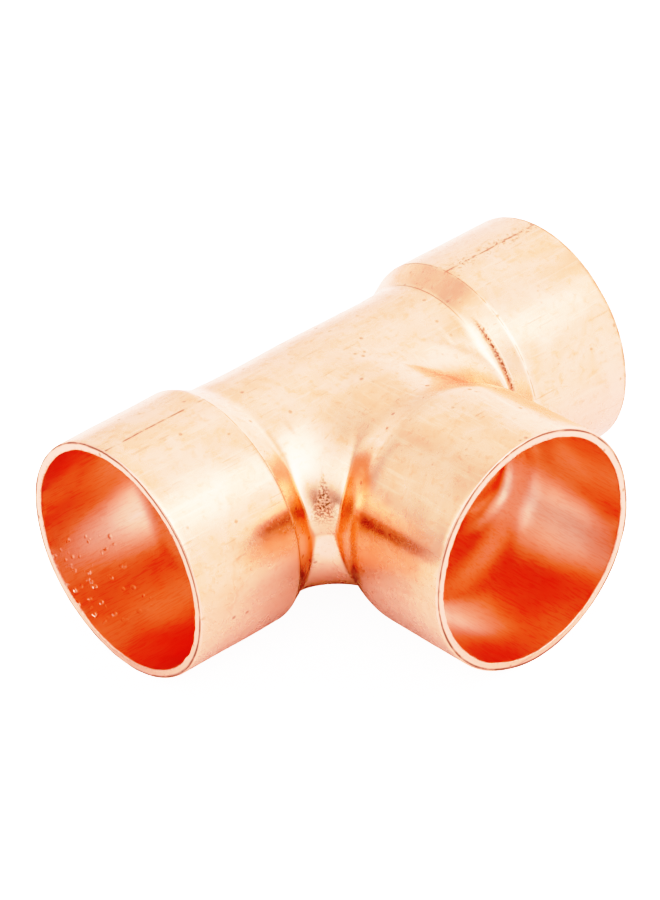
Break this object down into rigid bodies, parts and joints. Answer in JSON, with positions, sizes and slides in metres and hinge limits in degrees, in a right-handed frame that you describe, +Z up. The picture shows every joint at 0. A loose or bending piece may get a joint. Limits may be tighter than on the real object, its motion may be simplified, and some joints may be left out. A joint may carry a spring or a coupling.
{
  "type": "pipe tee fitting",
  "caption": "Equal tee for soldered copper tube: a straight run with a side branch, every end opened out into a tube socket behind a conical shoulder.",
  "frame": {"origin": "the crossing of the run's centreline and the branch's centreline", "axes": "+X along the straight run, towards the right socket; -Y along the branch, out of its socket; +Z up, square to the plane that holds both centrelines, so the fitting lies flat"},
  "size_m": [0.0686, 0.0495, 0.0304],
  "materials": {
    "copper": "bright, drawn and pickled, with fine scratches"
  },
  "bodies": {
    "root": {"tee_body": "copper"}
  },
  "joints": []
}
